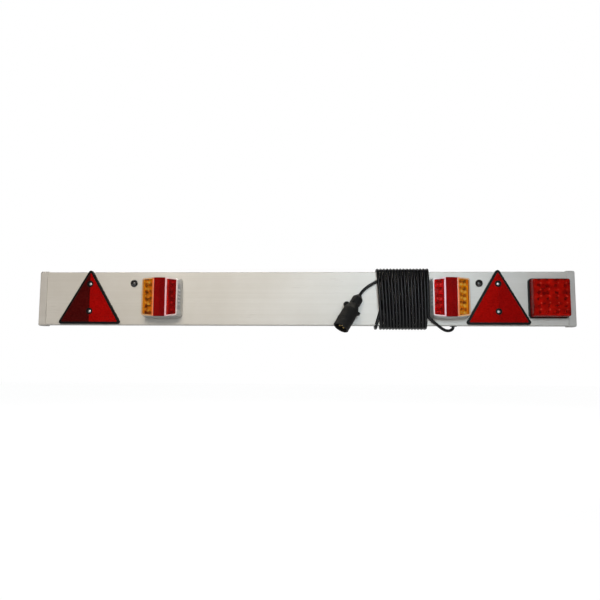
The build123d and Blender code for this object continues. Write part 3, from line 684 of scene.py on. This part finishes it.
def cableJacket():
    look = jacketLook
    material, tree, skin, position = newMaterial("cableJacket", Specular_IOR_Level=0.20)
    moulded = mouldedOn(tree, position, look["grain"], look["cloud"])
    dust = maskOn(tree, dustFilm, position, look["dustAmount"])
    colour = mixTint(tree, evened(tree, moulded["Tone"]), look["dark"], look["light"])
    fill(tree, skin["Base Color"], mixTint(tree, dust, colour, look["dust"]))
    rough = evened(tree, moulded["Tone"], *look["roughness"])
    fill(tree, skin["Roughness"], dusted(tree, rough, dust, look["dustRoughness"]))
    fill(tree, skin["Normal"], bump(tree, moulded["Height"], look["bump"]))
    return material


# electronics behind the windows
boardLook = {
    "mask": tint(30, 92, 52),
    "maskDark": tint(18, 66, 38),
    "trace": tint(58, 128, 74),
    "traceScale": 120.0,
    "traceWidth": 0.06,
    "roughness": (0.3, 0.45),
    "grain": 1500.0,
    "cloud": 60.0,
    "bump": 0.00005,
}


def circuitBoard():
    look = boardLook
    material, tree, skin, position = newMaterial("circuitBoard")
    moulded = mouldedOn(tree, position, look["grain"], look["cloud"])
    tracks = addNode(tree, "TexBrick", {
        "Vector": position, "Scale": look["traceScale"], "Mortar Size": look["traceWidth"],
    }).outputs["Fac"]
    colour = mixTint(tree, moulded["Tone"], look["maskDark"], look["mask"])
    fill(tree, skin["Base Color"], mixTint(tree, tracks, colour, look["trace"]))
    fill(tree, skin["Roughness"], evened(tree, moulded["Speck"], *look["roughness"]))
    fill(tree, skin["Normal"], bump(tree, tracks, look["bump"]))
    return material


diodeLook = {
    "body": tint(228, 222, 200),
    "phosphor": tint(214, 190, 84),
    "stain": tint(180, 170, 140),
    "stainSpan": (0.2, 0.8),
    "stainMost": 0.2,
    "faceSpan": (0.7, 0.9),
    "roughness": (0.3, 0.5),
    "grain": 2000.0,
    "cloud": 300.0,
}


def diodeBody():
    look = diodeLook
    material, tree, skin, position = newMaterial("diodeBody")
    moulded = mouldedOn(tree, position, look["grain"], look["cloud"])
    front = spread(tree, facingFront(tree), *look["faceSpan"])
    colour = mixTint(tree, front, look["body"], look["phosphor"])
    stain = spread(tree, moulded["Tone"], *look["stainSpan"], 0, look["stainMost"])
    fill(tree, skin["Base Color"], mixTint(tree, stain, colour, look["stain"]))
    fill(tree, skin["Roughness"], evened(tree, moulded["Speck"], *look["roughness"]))
    return material


# finish of each node
finishes = {
    "extrudedPlastic": ["plank"],
    "capPlastic": ["end_cap_left", "end_cap_right"],
    "blackPlastic": ["left_reflector_base", "right_reflector_base", "fog_lamp_base"],
    "domePlastic": ["mounting_bolt_caps"],
    "plugPlastic": ["plug_shell", "plug_insert"],
    "glandPlastic": ["plug_gland_nut"],
    "softRubber": [
        "cable_grommet", "plug_seal", "left_lamp_gasket", "right_lamp_gasket", "inner_wiring"],
    "basePlastic": ["left_lamp_base", "right_lamp_base"],
    "leftReflectorRed": ["left_reflector_lens"],
    "rightReflectorRed": ["right_reflector_lens"],
    "leftBandRed": ["left_lamp_reflex_band"],
    "rightBandRed": ["right_lamp_reflex_band"],
    "leftAmber": ["left_lamp_amber_lens"],
    "rightAmber": ["right_lamp_amber_lens"],
    "leftRed": ["left_lamp_red_lens"],
    "rightRed": ["right_lamp_red_lens"],
    "fogRed": ["fog_lamp_lens"],
    "leftPlate": ["left_lamp_plate_window"],
    "rightPlate": ["right_lamp_plate_window"],
    "leftHousingPlastic": ["left_lamp_housing"],
    "rightHousingPlastic": ["right_lamp_housing"],
    "zincSteel": [
        "mounting_bolts", "mounting_flange_nuts", "lamp_bolts", "lamp_washers", "lamp_nuts"],
    "screwSteel": ["reflector_screws"],
    "brass": ["plug_pins"],
    "chromeTray": [
        "left_lamp_reflector_tray", "right_lamp_reflector_tray", "fog_lamp_reflector_tray"],
    "circuitBoard": [
        "left_lamp_circuit_board", "right_lamp_circuit_board", "fog_lamp_circuit_board"],
    "diodeBody": ["left_lamp_diodes", "right_lamp_diodes", "fog_lamp_diodes"],
}
materials = {make.__name__: make() for make in (
    extrudedPlastic, cableJacket, circuitBoard, diodeBody)}
for make, looks in (
        (mouldedPlastic, mouldedLooks), (reflexRed, reflexLooks),
        (windowPlastic, glassLooks), (platedMetal, metalLooks)):
    materials.update({name: make(name) for name in looks})
for side in ("left", "right"):
    materials[side + "HousingPlastic"] = housingPlastic(side)
for finish, names in finishes.items():
    for name in names:
        nodes[name].data.materials.clear()
        nodes[name].data.materials.append(materials[finish])
finished = sum(len(names) for names in finishes.values())
print("finished", finished, "board pieces with", len(materials), "materials")


def finishPiece(piece, material):
    piece.data.materials.clear()
    piece.data.materials.append(material)
    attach(piece, "root")


# cable: from the grommet round the plank sixteen times and into the plug
cable = {
    "diameter": 0.0076,
    "length": 5.88,
    "turns": 16,
    "pitch": 0.00837,
    "firstTop": 0.3166,
    "lean": 0.0024,
    "leanGrowth": 0.0004,
    # a turn bows out from the front face, each a little differently
    "edgeOut": 0.0042,
    "bow": 0.0082,
    "bowHeight": 0.0735,
    "bowChange": 0.0003,
    "bowBeat": 2.4,
    "turnsOverLead": 3,
    "overLead": 0.0036,
    "sway": 0.0001,
    "swayBeat": 5.1,
    "swayRise": 30,
    # heights from the plank's middle; the other pairs are out of the front face, then up
    "firstRise": (-0.030, 0.0, 0.030, 0.056),
    "faceHeights": (-0.056, -0.030, 0.0, 0.030, 0.056),
    "frontEdge": (0.0043, 0.0737),
    "overTop": [(-0.0120, 0.0745), (-0.0288, 0.0742)],
    "backOut": -0.0292,
    "backHeights": (0.040, 0.0, -0.040),
    "underneath": [(-0.0288, -0.0742), (-0.0120, -0.0752)],
    # from the grommet: along, out of the front face, up from the plank's lower edge
    "tail": [
        (0.0, -0.0120, 0.0020), (0.0, -0.0120, -0.0048), (-0.0043, -0.0108, -0.0098),
        (-0.0116, -0.0086, -0.0124), (-0.0202, -0.0056, -0.0120), (-0.0295, -0.0020, -0.0078),
        (-0.0395, 0.0034, -0.0010), (-0.0500, 0.0060, 0.0074), (-0.0595, 0.0066, 0.0152),
        (-0.0660, 0.0064, 0.0235),
    ],
    # the way under the last turns: along, out of the front face, up from the plank's middle
    "underTurns": [
        (0.1865, 0.0043, -0.0735), (0.1890, 0.0046, -0.0600), (0.1935, 0.0046, -0.0450),
        (0.1985, 0.0044, -0.0280), (0.2035, 0.0043, -0.0100), (0.2070, 0.0043, 0.0080),
        (0.2085, 0.0043, 0.0250), (0.2070, 0.0043, 0.0390), (0.2005, 0.0046, 0.0470),
    ],
    # the same, but along from the coil's left side
    "lead": [
        (0.0070, 0.0058, 0.0450), (-0.0060, 0.0072, 0.0380), (-0.0192, 0.0090, 0.0300),
        (-0.0316, 0.0114, 0.0200),
    ],
    "plugRear": (-0.0418, 0.0156, 0.0047),
    "plugAxis": (0.469846, 0.342020, 0.813798),
    "intoGland": 0.009,
    "outOfGland": 0.006,
    "onCable": [
        "plug_shell", "plug_gland_nut", "plug_seal", "plug_insert", "plug_pins", "cable_grommet"],
}


def topOfTurn(turn):
    return cable["firstTop"] - cable["pitch"] * turn


def bottomOfTurn(turn):
    if turn == cable["turns"] - 1:
        return cable["underTurns"][0][0]
    return topOfTurn(turn + 1) + cable["lean"] + cable["leanGrowth"] * (turn + 1)


def outOnFace(turn, up):
    bow = cable["bow"] + cable["bowChange"] * math.sin(cable["bowBeat"] * turn)
    # the last turns ride over the lead, so they stand further out
    bow += cable["overLead"] * (turn >= cable["turns"] - cable["turnsOverLead"])
    return cable["edgeOut"] + bow * math.sqrt(1 - (up / cable["bowHeight"]) ** 2)


def turnPoints(turn):
    top, bottom = topOfTurn(turn), bottomOfTurn(turn)
    edgeOut, edge = cable["frontEdge"]
    points = []
    if turn == 0:
        points += [(top, outOnFace(turn, up), up) for up in cable["firstRise"]]
    else:
        start = bottomOfTurn(turn - 1)
        points.append((start, edgeOut, -edge))
        for up in cable["faceHeights"]:
            sway = cable["sway"] * math.sin(cable["swayBeat"] * turn + cable["swayRise"] * up)
            along = start + (top - start) * (up + edge) / (2 * edge) + sway
            points.append((along, outOnFace(turn, up), up))
    points.append((top, edgeOut, edge))
    points += [(top, out, up) for out, up in cable["overTop"]]
    back = cable["overTop"][-1][1]
    for up in cable["backHeights"]:
        points.append((top + (bottom - top) * (back - up) / (2 * back), cable["backOut"], up))
    return points + [(bottom, out, up) for out, up in cable["underneath"]]


def cableRoute(grommet, halfHeight):
    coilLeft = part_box("cable_coil")[0][0] - plankMiddle.x
    route = [onPlank(grommet + along, out, up - halfHeight) for along, out, up in cable["tail"]]
    for turn in range(cable["turns"]):
        route += [onPlank(*point) for point in turnPoints(turn)]
    route += [onPlank(*point) for point in cable["underTurns"]]
    route += [onPlank(coilLeft + along, out, up) for along, out, up in cable["lead"]]
    along, out, up = cable["plugRear"]
    rear, axis = onPlank(coilLeft + along, out, up), Vector(cable["plugAxis"])
    return route + [rear + axis * cable["outOfGland"], rear - axis * cable["intoGland"]]


def makeCable():
    grommet = middleOf("cable_grommet").x - plankMiddle.x
    halfHeight = (plankHigh.z - plankLow.z) / 2
    route = cableRoute(grommet, halfHeight)
    curve = bpy.data.curves.new("cable", "CURVE")
    curve.dimensions = "3D"
    curve.bevel_depth = cable["diameter"] / 2
    curve.bevel_resolution = 4
    curve.resolution_u = 8
    curve.use_fill_caps = True
    spline = curve.splines.new("NURBS")
    spline.points.add(len(route) - 1)
    for point, place in zip(spline.points, route):
        point.co = (*place, 1.0)
    spline.use_endpoint_u = True
    spline.order_u = 3
    piece = bpy.data.objects.new("cable", curve)
    bpy.context.collection.objects.link(piece)
    finishPiece(piece, materials["cableJacket"])
    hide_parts("cable_tail", "cable_coil", "cable_lead")
    print("cable wound with", len(route), "points")


makeCable()


# small helpers for modelling
def pick(piece, wanted):
    bpy.ops.object.mode_set(mode="EDIT")
    bpy.ops.mesh.select_all(action="DESELECT")
    bpy.ops.object.mode_set(mode="OBJECT")
    for vertex in piece.data.vertices:
        vertex.select = wanted(vertex.co)
    bpy.ops.object.mode_set(mode="EDIT")


def cutOff(place, way):
    # what lies beyond the plane goes, and the cut is closed
    bpy.ops.mesh.select_all(action="SELECT")
    bpy.ops.mesh.bisect(
        plane_co=place, plane_no=way, use_fill=True, clear_outer=True, threshold=1e-7)


def smoothed(piece, degrees):
    bpy.ops.object.mode_set(mode="OBJECT")
    bpy.ops.object.shade_smooth_by_angle(angle=math.radians(degrees))
    return piece


def copyTo(model, places, name):
    bpy.ops.object.select_all(action="DESELECT")
    for place in places:
        twin = model.copy()
        twin.data = model.data.copy()
        twin.data.transform(Matrix.Translation(place))
        bpy.context.collection.objects.link(twin)
        twin.select_set(True)
        bpy.context.view_layer.objects.active = twin
    bpy.ops.object.join()
    whole = bpy.context.object
    whole.name = name
    return whole


# clear domes over the light-emitting diodes
domes = {
    "radius": 0.0019,
    "height": 0.0013,
    "plateRadius": 0.0010,
    "segments": 20,
    "rings": 12,
    "rows": 5,
    "half": 0.0025,
    "plateHalf": 0.0013,
    "platePitch": 0.009,
    "fogGrid": (4, 5),
    "resin": tint(236, 226, 176),
    "resinLight": tint(250, 246, 224),
    "cloud": 700,
    "roughness": (0.08, 0.16),
    "smoothAngle": 40,
}


def domeMaterial():
    material, tree, skin, position = newMaterial(
        "diodeDome", IOR=1.5, Coat_Weight=0.6, Coat_Roughness=0.04)
    cloud = noise(tree, position, domes["cloud"], 2)
    fill(tree, skin["Base Color"], mixTint(tree, cloud, domes["resin"], domes["resinLight"]))
    fill(tree, skin["Roughness"], evened(tree, cloud, *domes["roughness"]))
    return material


def makeDome(radius):
    bpy.ops.mesh.primitive_uv_sphere_add(
        segments=domes["segments"], ring_count=domes["rings"], radius=radius)
    dome = bpy.context.object
    bpy.ops.object.mode_set(mode="EDIT")
    cutOff((0, 0, 0), (0, 1, 0))
    bpy.ops.mesh.select_all(action="SELECT")
    bpy.ops.transform.resize(value=(1, domes["height"] / domes["radius"], 1))
    return smoothed(dome, domes["smoothAngle"])


def lampDomes(side, large, small):
    low, high = cornersOf(side + "_lamp_diodes")
    middle, band = (low + high) / 2, middleOf(side + "_lamp_reflex_band").x
    outer = low.x + domes["half"] if side == "left" else high.x - domes["half"]
    plate = high.x - domes["plateHalf"] if side == "left" else low.x + domes["plateHalf"]
    pitch = (high.z - low.z - 2 * domes["half"]) / (domes["rows"] - 1)
    steps = [row - (domes["rows"] - 1) / 2 for row in range(domes["rows"])]
    columns = [
        Vector((x, low.y, middle.z + pitch * step))
        for x in (outer, 2 * band - outer) for step in steps]
    row = [Vector((plate, low.y, middle.z + domes["platePitch"] * step)) for step in steps]
    return [
        copyTo(large, columns, side + "LampDomes"),
        copyTo(small, row, side + "PlateDomes")]


def fogDomes(large):
    low, high = cornersOf("fog_lamp_diodes")
    inset = Vector((domes["half"], 0, domes["half"]))
    low, high = low + inset, high - inset
    columns, rows = domes["fogGrid"]
    places = []
    for column in range(columns):
        across = low.x + (high.x - low.x) * column / (columns - 1)
        for row in range(rows):
            up = low.z + (high.z - low.z) * row / (rows - 1)
            places.append(Vector((across, low.y, up)))
    return copyTo(large, places, "fogLampDomes")


def makeDomes():
    clear = domeMaterial()
    large, small = makeDome(domes["radius"]), makeDome(domes["plateRadius"])
    sets = lampDomes("left", large, small) + lampDomes("right", large, small)
    sets.append(fogDomes(large))
    for whole in sets:
        finishPiece(whole, clear)
    for model in (large, small):
        bpy.data.objects.remove(model)
    print("made", len(sets), "sets of diode domes")


makeDomes()


# mounting bolts, with a rolled thread on the end that takes the bracket
bolt = {
    "headRadius": 0.0072,
    "headHeight": 0.0032,
    "headBevel": 0.0012,
    "bevelSteps": 3,
    "shankRadius": 0.0036,
    "crest": 0.0040,
    "root": 0.0034,
    "pitch": 0.00125,
    "reach": 0.022,
    "tip": 0.0008,
    "tipTaper": 0.84,
    "facets": 28,
    "weld": 0.00002,
    "smoothAngle": 25,
}


def makeThread():
    # a square less one corner, turned to a V and wound along the bolt
    half = bolt["pitch"] / math.sqrt(8)
    bpy.ops.mesh.primitive_plane_add(size=2 * half)
    thread = bpy.context.object
    bpy.ops.object.mode_set(mode="EDIT")
    bpy.ops.mesh.delete(type="ONLY_FACE")
    pick(thread, lambda place: place.x < 0 and place.y < 0)
    bpy.ops.mesh.delete(type="VERT")
    bpy.ops.mesh.select_all(action="SELECT")
    bpy.ops.transform.rotate(
        value=math.radians(45), orient_axis="Z", center_override=(0, 0, 0))
    deep = (bolt["crest"] - bolt["root"]) / (bolt["pitch"] / 2)
    bpy.ops.transform.resize(value=(deep, 1, 1), center_override=(0, 0, 0))
    bpy.ops.transform.translate(value=(bolt["root"], -bolt["pitch"], 0))
    bpy.ops.object.mode_set(mode="OBJECT")
    bpy.ops.object.modifier_add(type="SCREW")
    wound = thread.modifiers[-1]
    wound.axis = "Y"
    wound.screw_offset = bolt["pitch"]
    wound.iterations = math.ceil(bolt["reach"] / bolt["pitch"]) + 2
    wound.steps = wound.render_steps = bolt["facets"]
    bpy.ops.object.modifier_apply(modifier=wound.name)
    bpy.ops.object.mode_set(mode="EDIT")
    bpy.ops.mesh.select_all(action="SELECT")
    bpy.ops.mesh.remove_doubles(threshold=bolt["weld"])  # each turn meets the next
    cutOff((0, 0, 0), (0, -1, 0))
    cutOff((0, bolt["reach"], 0), (0, 1, 0))
    bpy.ops.object.mode_set(mode="OBJECT")
    pick(thread, lambda place: place.y > bolt["reach"] - bolt["tip"])
    taper = bolt["tipTaper"]
    bpy.ops.transform.resize(value=(taper, 1, taper), center_override=(0, 0, 0))
    bpy.ops.mesh.select_all(action="SELECT")
    bpy.ops.mesh.normals_make_consistent(inside=False)
    bpy.ops.object.mode_set(mode="OBJECT")
    return thread


def makeHead():
    face = plankLow.y
    middle = face - bolt["headHeight"] / 2
    bpy.ops.mesh.primitive_cylinder_add(
        vertices=bolt["facets"], radius=bolt["headRadius"], depth=bolt["headHeight"],
        location=(0, middle, 0), rotation=(math.radians(90), 0, 0))
    head = bpy.context.object
    bpy.ops.object.transform_apply(location=True, rotation=True)
    pick(head, lambda place: place.y > middle)
    bpy.ops.mesh.inset(thickness=bolt["headRadius"] - bolt["shankRadius"])
    bpy.ops.mesh.extrude_region_move(TRANSFORM_OT_translate={"value": (0, -face, 0)})
    pick(head, lambda place: place.y < middle)
    bpy.ops.mesh.bevel(offset=bolt["headBevel"], segments=bolt["bevelSteps"])
    bpy.ops.object.mode_set(mode="OBJECT")
    return head


def makeBolts():
    thread, head = makeThread(), makeHead()
    bpy.ops.object.select_all(action="DESELECT")
    thread.select_set(True)
    head.select_set(True)
    bpy.context.view_layer.objects.active = head
    bpy.ops.object.join()
    smoothed(head, bolt["smoothAngle"])
    low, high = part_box("mounting_bolts")
    reach = (high[0] - low[0]) / 2 - bolt["headRadius"]
    both = copyTo(head, [Vector((-reach, 0, 0)), Vector((reach, 0, 0))], "mountingBolts")
    finishPiece(both, materials["zincSteel"])
    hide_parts("mounting_bolts")
    bpy.data.objects.remove(head)
    print("threaded bolts made", len(both.data.polygons))


makeBolts()


# black collars round the reflectors' screws: partly the black base seen round each screw, widened
# into a dark ring that is painted shade of the screw recesses
collar = {
    "radius": 0.0083,
    "bore": 0.0045,
    "proud": 0.0007,
    "depth": 0.0015,
    "bevel": 0.0005,
    "bevelSteps": 3,
    "headRadius": 0.0043,
    "facets": 40,
    "weld": 0.00001,
    "smoothAngle": 35,
}


def makeShadeCollars():
    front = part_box("left_reflector_lens")[0][1] - collar["proud"]
    middle = front + collar["depth"] / 2
    width = collar["radius"] - collar["bore"]
    bpy.ops.mesh.primitive_plane_add(
        size=1, location=(collar["bore"] + width / 2, middle, 0))
    ring = bpy.context.object
    ring.scale = (width, collar["depth"], 1)
    bpy.ops.object.transform_apply(location=True, scale=True)
    # both front corners are eased, then the outline is spun round the screw
    pick(ring, lambda place: place.y < middle)
    bpy.ops.mesh.bevel(
        offset=collar["bevel"], segments=collar["bevelSteps"], affect="VERTICES")
    bpy.ops.mesh.select_all(action="SELECT")
    bpy.ops.mesh.delete(type="ONLY_FACE")
    bpy.ops.mesh.select_all(action="SELECT")
    bpy.ops.mesh.spin(
        steps=collar["facets"], angle=math.tau, center=(0, 0, 0), axis=(0, 1, 0))
    bpy.ops.mesh.select_all(action="SELECT")
    bpy.ops.mesh.remove_doubles(threshold=collar["weld"])
    bpy.ops.mesh.normals_make_consistent(inside=False)
    smoothed(ring, collar["smoothAngle"])
    low, high = cornersOf("reflector_screws")
    inset = collar["headRadius"]
    rings = copyTo(ring, [
        Vector((x, 0, z))
        for x in (low.x + inset, high.x - inset) for z in (low.z + inset, high.z - inset)
    ], "screwShadeCollars")
    finishPiece(rings, materials["blackPlastic"])
    bpy.data.objects.remove(ring)
    print("collars made", len(rings.data.polygons))


makeShadeCollars()


# stage: pale floor, white backdrop, dim room behind the camera, and soft studio lamps
white = (1, 1, 1, 1)
black = (0, 0, 0, 1)
stage = {
    "floorDrop": 0.34,
    "floorSize": 14.0,
    "floorColour": (0.20, 0.20, 0.20, 1),
    "floorFleck": (0.17, 0.17, 0.17, 1),
    "floorCloud": 30,
    "floorGlow": 0.92,
    "surround": (0.95, 0.98, 1.0, 1),
    "surroundStrength": 0.22,
    "roomStrength": 0.12,
    "roomSpan": (-0.35, 0.55),
    "lamps": [
        {"name": "frontBox", "place": (0.36, -1.62, 0.27), "aim": (0.33, 0, -0.05),
         "size": (0.40, 0.30), "power": 0.97, "spread": 50, "colour": (0.80, 0.92, 1.0)},
        {"name": "warmBox", "place": (-0.34, -1.55, 0.58), "aim": (-0.46, 0, -0.04),
         "size": (0.8, 0.42), "power": 2.05, "spread": 62, "colour": (1.0, 0.91, 0.79)},
        {"name": "lowBox", "place": (0.1, -1.80, -0.34), "aim": (0.1, 0, -0.06),
         "size": (1.6, 0.16), "power": 4.9, "spread": 150, "colour": (1.0, 1.0, 1.0)},
        {"name": "topBox", "place": (0.0, -0.35, 1.5), "aim": (0.0, 0, -0.04),
         "size": (1.8, 0.6), "power": 1.2, "spread": 180, "colour": (1.0, 1.0, 1.0)},
        {"name": "backBox", "place": (0.0, 1.5, 1.5), "aim": (0.0, 0, -0.04),
         "size": (1.8, 0.8), "power": 26.0, "spread": 180, "colour": (1.0, 1.0, 1.0)},
    ],
}


def shining(tree, kind, colour, strength):
    return addNode(tree, kind, {"Color": colour, "Strength": strength}).outputs[0]


def seenAsWhite(tree):
    path = addNode(tree, "LightPath").outputs
    seen = calc(tree, "MAXIMUM", path["Is Camera Ray"], path["Is Glossy Ray"])
    return calc(tree, "MAXIMUM", seen, path["Is Transmission Ray"])


def makeFloor():
    height = cadBox[0][2] - stage["floorDrop"]
    bpy.ops.mesh.primitive_plane_add(size=stage["floorSize"], location=(0, 0, height))
    floor = bpy.context.object
    floor.name = "floor"
    bpy.ops.object.transform_apply(location=True)
    material, tree, skin, position = newMaterial(
        "floorPaper", Roughness=0.9, Specular_IOR_Level=0.1)
    cloud = noise(tree, position, stage["floorCloud"], 4)
    colour = mixTint(tree, cloud, stage["floorColour"], stage["floorFleck"])
    fill(tree, skin["Base Color"], colour)
    glow = shining(tree, "Emission", white, stage["floorGlow"])
    nothing = shining(tree, "Emission", black, 0.0)
    shown = addNode(tree, "MixShader", {0: seenAsWhite(tree), 1: nothing, 2: glow}).outputs[0]
    paper = tree.nodes["Principled BSDF"].outputs[0]
    both = addNode(tree, "AddShader", {0: paper, 1: shown}).outputs[0]
    fill(tree, tree.nodes["Material Output"].inputs["Surface"], both)
    floor.data.materials.append(material)


def makeSurround():
    world = bpy.data.worlds.new("studioSurround")
    bpy.context.scene.world = world
    world.use_nodes = True
    tree = world.node_tree
    tree.nodes.clear()
    path = addNode(tree, "LightPath").outputs
    # the backdrop stands behind the board, and the room behind the camera is dim
    depth = axisOf(tree, addNode(tree, "TexCoord").outputs["Generated"], "Y")
    mirrored = spread(tree, depth, *stage["roomSpan"], stage["roomStrength"], 1.0)
    mirrored = calc(tree, "MULTIPLY", mirrored, path["Is Glossy Ray"])
    direct = calc(tree, "MAXIMUM", path["Is Camera Ray"], path["Is Transmission Ray"])
    shown = shining(tree, "Background", white, calc(tree, "MAXIMUM", direct, mirrored))
    light = shining(tree, "Background", stage["surround"], stage["surroundStrength"])
    both = addNode(tree, "MixShader", {0: seenAsWhite(tree), 1: light, 2: shown}).outputs[0]
    fill(tree, addNode(tree, "OutputWorld").inputs["Surface"], both)


def makeLamps():
    for lamp in stage["lamps"]:
        bpy.ops.object.light_add(type="AREA", location=lamp["place"])
        light = bpy.context.object
        light.name = lamp["name"]
        light.data.shape = "RECTANGLE"
        light.data.size, light.data.size_y = lamp["size"]
        light.data.energy = lamp["power"]
        light.data.spread = math.radians(lamp["spread"])
        light.data.color = lamp["colour"]
        way = Vector(lamp["aim"]) - Vector(lamp["place"])
        light.rotation_euler = way.to_track_quat("-Z", "Y").to_euler()


makeFloor()
makeSurround()
makeLamps()
print("stage lit with", len(stage["lamps"]), "lamps")

bpy.context.view_layer.update()
